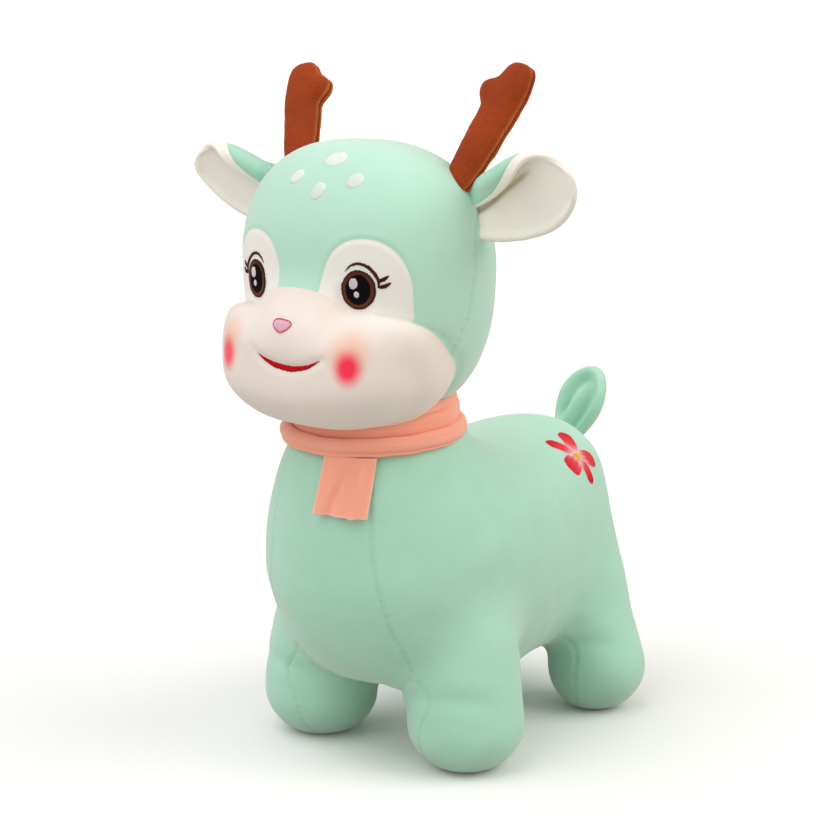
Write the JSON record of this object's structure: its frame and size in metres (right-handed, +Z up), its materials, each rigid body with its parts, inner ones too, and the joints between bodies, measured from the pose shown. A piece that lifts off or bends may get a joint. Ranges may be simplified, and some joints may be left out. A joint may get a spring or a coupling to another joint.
{
  "type": "plush deer",
  "caption": "Standing plush deer with stuffed legs, padded antlers, ears and tail, an embroidered face and flower, and a wrapped scarf with a hanging end.",
  "frame": {"origin": "on the ground, under the middle of the toy's bounding box", "axes": "+X to the deer's left, +Y towards its tail, +Z up"},
  "size_m": [0.2918, 0.3506, 0.4488],
  "materials": {
    "mint_plush": "short velvety pile",
    "cream_plush": "short velvety pile",
    "brown_plush": "short velvety pile",
    "scarf_cloth": "soft brushed cloth",
    "white_thread": "embroidery thread",
    "iris_thread": "embroidery thread",
    "black_thread": "embroidery thread",
    "pink_thread": "embroidery thread",
    "red_thread": "embroidery thread",
    "petal_thread": "embroidery thread",
    "yellow_thread": "embroidery thread",
    "stuffing": "loose white fibre"
  },
  "bodies": {
    "fawn": {"body": "mint_plush", "front_leg_left": "mint_plush", "front_leg_right": "mint_plush", "hind_leg_left": "mint_plush", "hind_leg_right": "mint_plush", "head": "mint_plush", "eye_patch_left": "cream_plush", "eye_patch_right": "cream_plush", "muzzle": "cream_plush", "scarf_upper_wrap": "scarf_cloth", "scarf_lower_wrap": "scarf_cloth", "iris_left": "iris_thread", "pupil_left": "black_thread", "lashes_left": "black_thread", "large_glint_left": "white_thread", "small_glint_left": "white_thread", "left_spot": "white_thread", "iris_right": "iris_thread", "pupil_right": "black_thread", "lashes_right": "black_thread", "large_glint_right": "white_thread", "small_glint_right": "white_thread", "right_spot": "white_thread", "crown_spot": "white_thread", "brow_spot": "white_thread", "nose": "pink_thread", "mouth": "red_thread", "petal_1": "petal_thread", "petal_2": "petal_thread", "petal_3": "petal_thread", "petal_4": "petal_thread", "petal_5": "petal_thread", "flower_eye": "yellow_thread", "body_stuffing": "stuffing", "head_stuffing": "stuffing"},
    "ear_left": {"ear_back_left": "mint_plush", "ear_lining_left": "cream_plush"},
    "ear_right": {"ear_back_right": "mint_plush", "ear_lining_right": "cream_plush"},
    "antler_left": {"antler_left": "brown_plush"},
    "antler_right": {"antler_right": "brown_plush"},
    "tail": {"tail": "mint_plush"},
    "scarf_end": {"scarf_end": "scarf_cloth"}
  },
  "joints": [
    {"name": "ear_left_flex", "type": "hinge", "parent": "fawn", "child": "ear_left", "pos_m": [0.07752, -0.0691, 0.36599], "axis": [-0.1435, -0.5387, 0.8302], "range_deg": [-18, 18], "stiffness_Nm_per_rad": 0.05},
    {"name": "ear_right_flex", "type": "hinge", "parent": "fawn", "child": "ear_right", "pos_m": [-0.07752, -0.0691, 0.36599], "axis": [0.1435, -0.5387, 0.8302], "range_deg": [-18, 18], "stiffness_Nm_per_rad": 0.05},
    {"name": "antler_left_flex", "type": "hinge", "parent": "fawn", "child": "antler_left", "pos_m": [0.06657, -0.08009, 0.38293], "axis": [-0.9558, 0.1347, 0.2614], "range_deg": [-12, 12], "stiffness_Nm_per_rad": 0.08},
    {"name": "antler_right_flex", "type": "hinge", "parent": "fawn", "child": "antler_right", "pos_m": [-0.06657, -0.08009, 0.38293], "axis": [0.9558, 0.1347, 0.2614], "range_deg": [-12, 12], "stiffness_Nm_per_rad": 0.08},
    {"name": "tail_flex", "type": "hinge", "parent": "fawn", "child": "tail", "pos_m": [0, 0.13838, 0.17397], "axis": [1, 0, 0], "range_deg": [-20, 20], "stiffness_Nm_per_rad": 0.03},
    {"name": "scarf_end_lift", "type": "hinge", "parent": "fawn", "child": "scarf_end", "pos_m": [0.02337, -0.13461, 0.21333], "axis": [-0.9135, -0.4067, 0], "range_deg": [0, 70]}
  ]
}
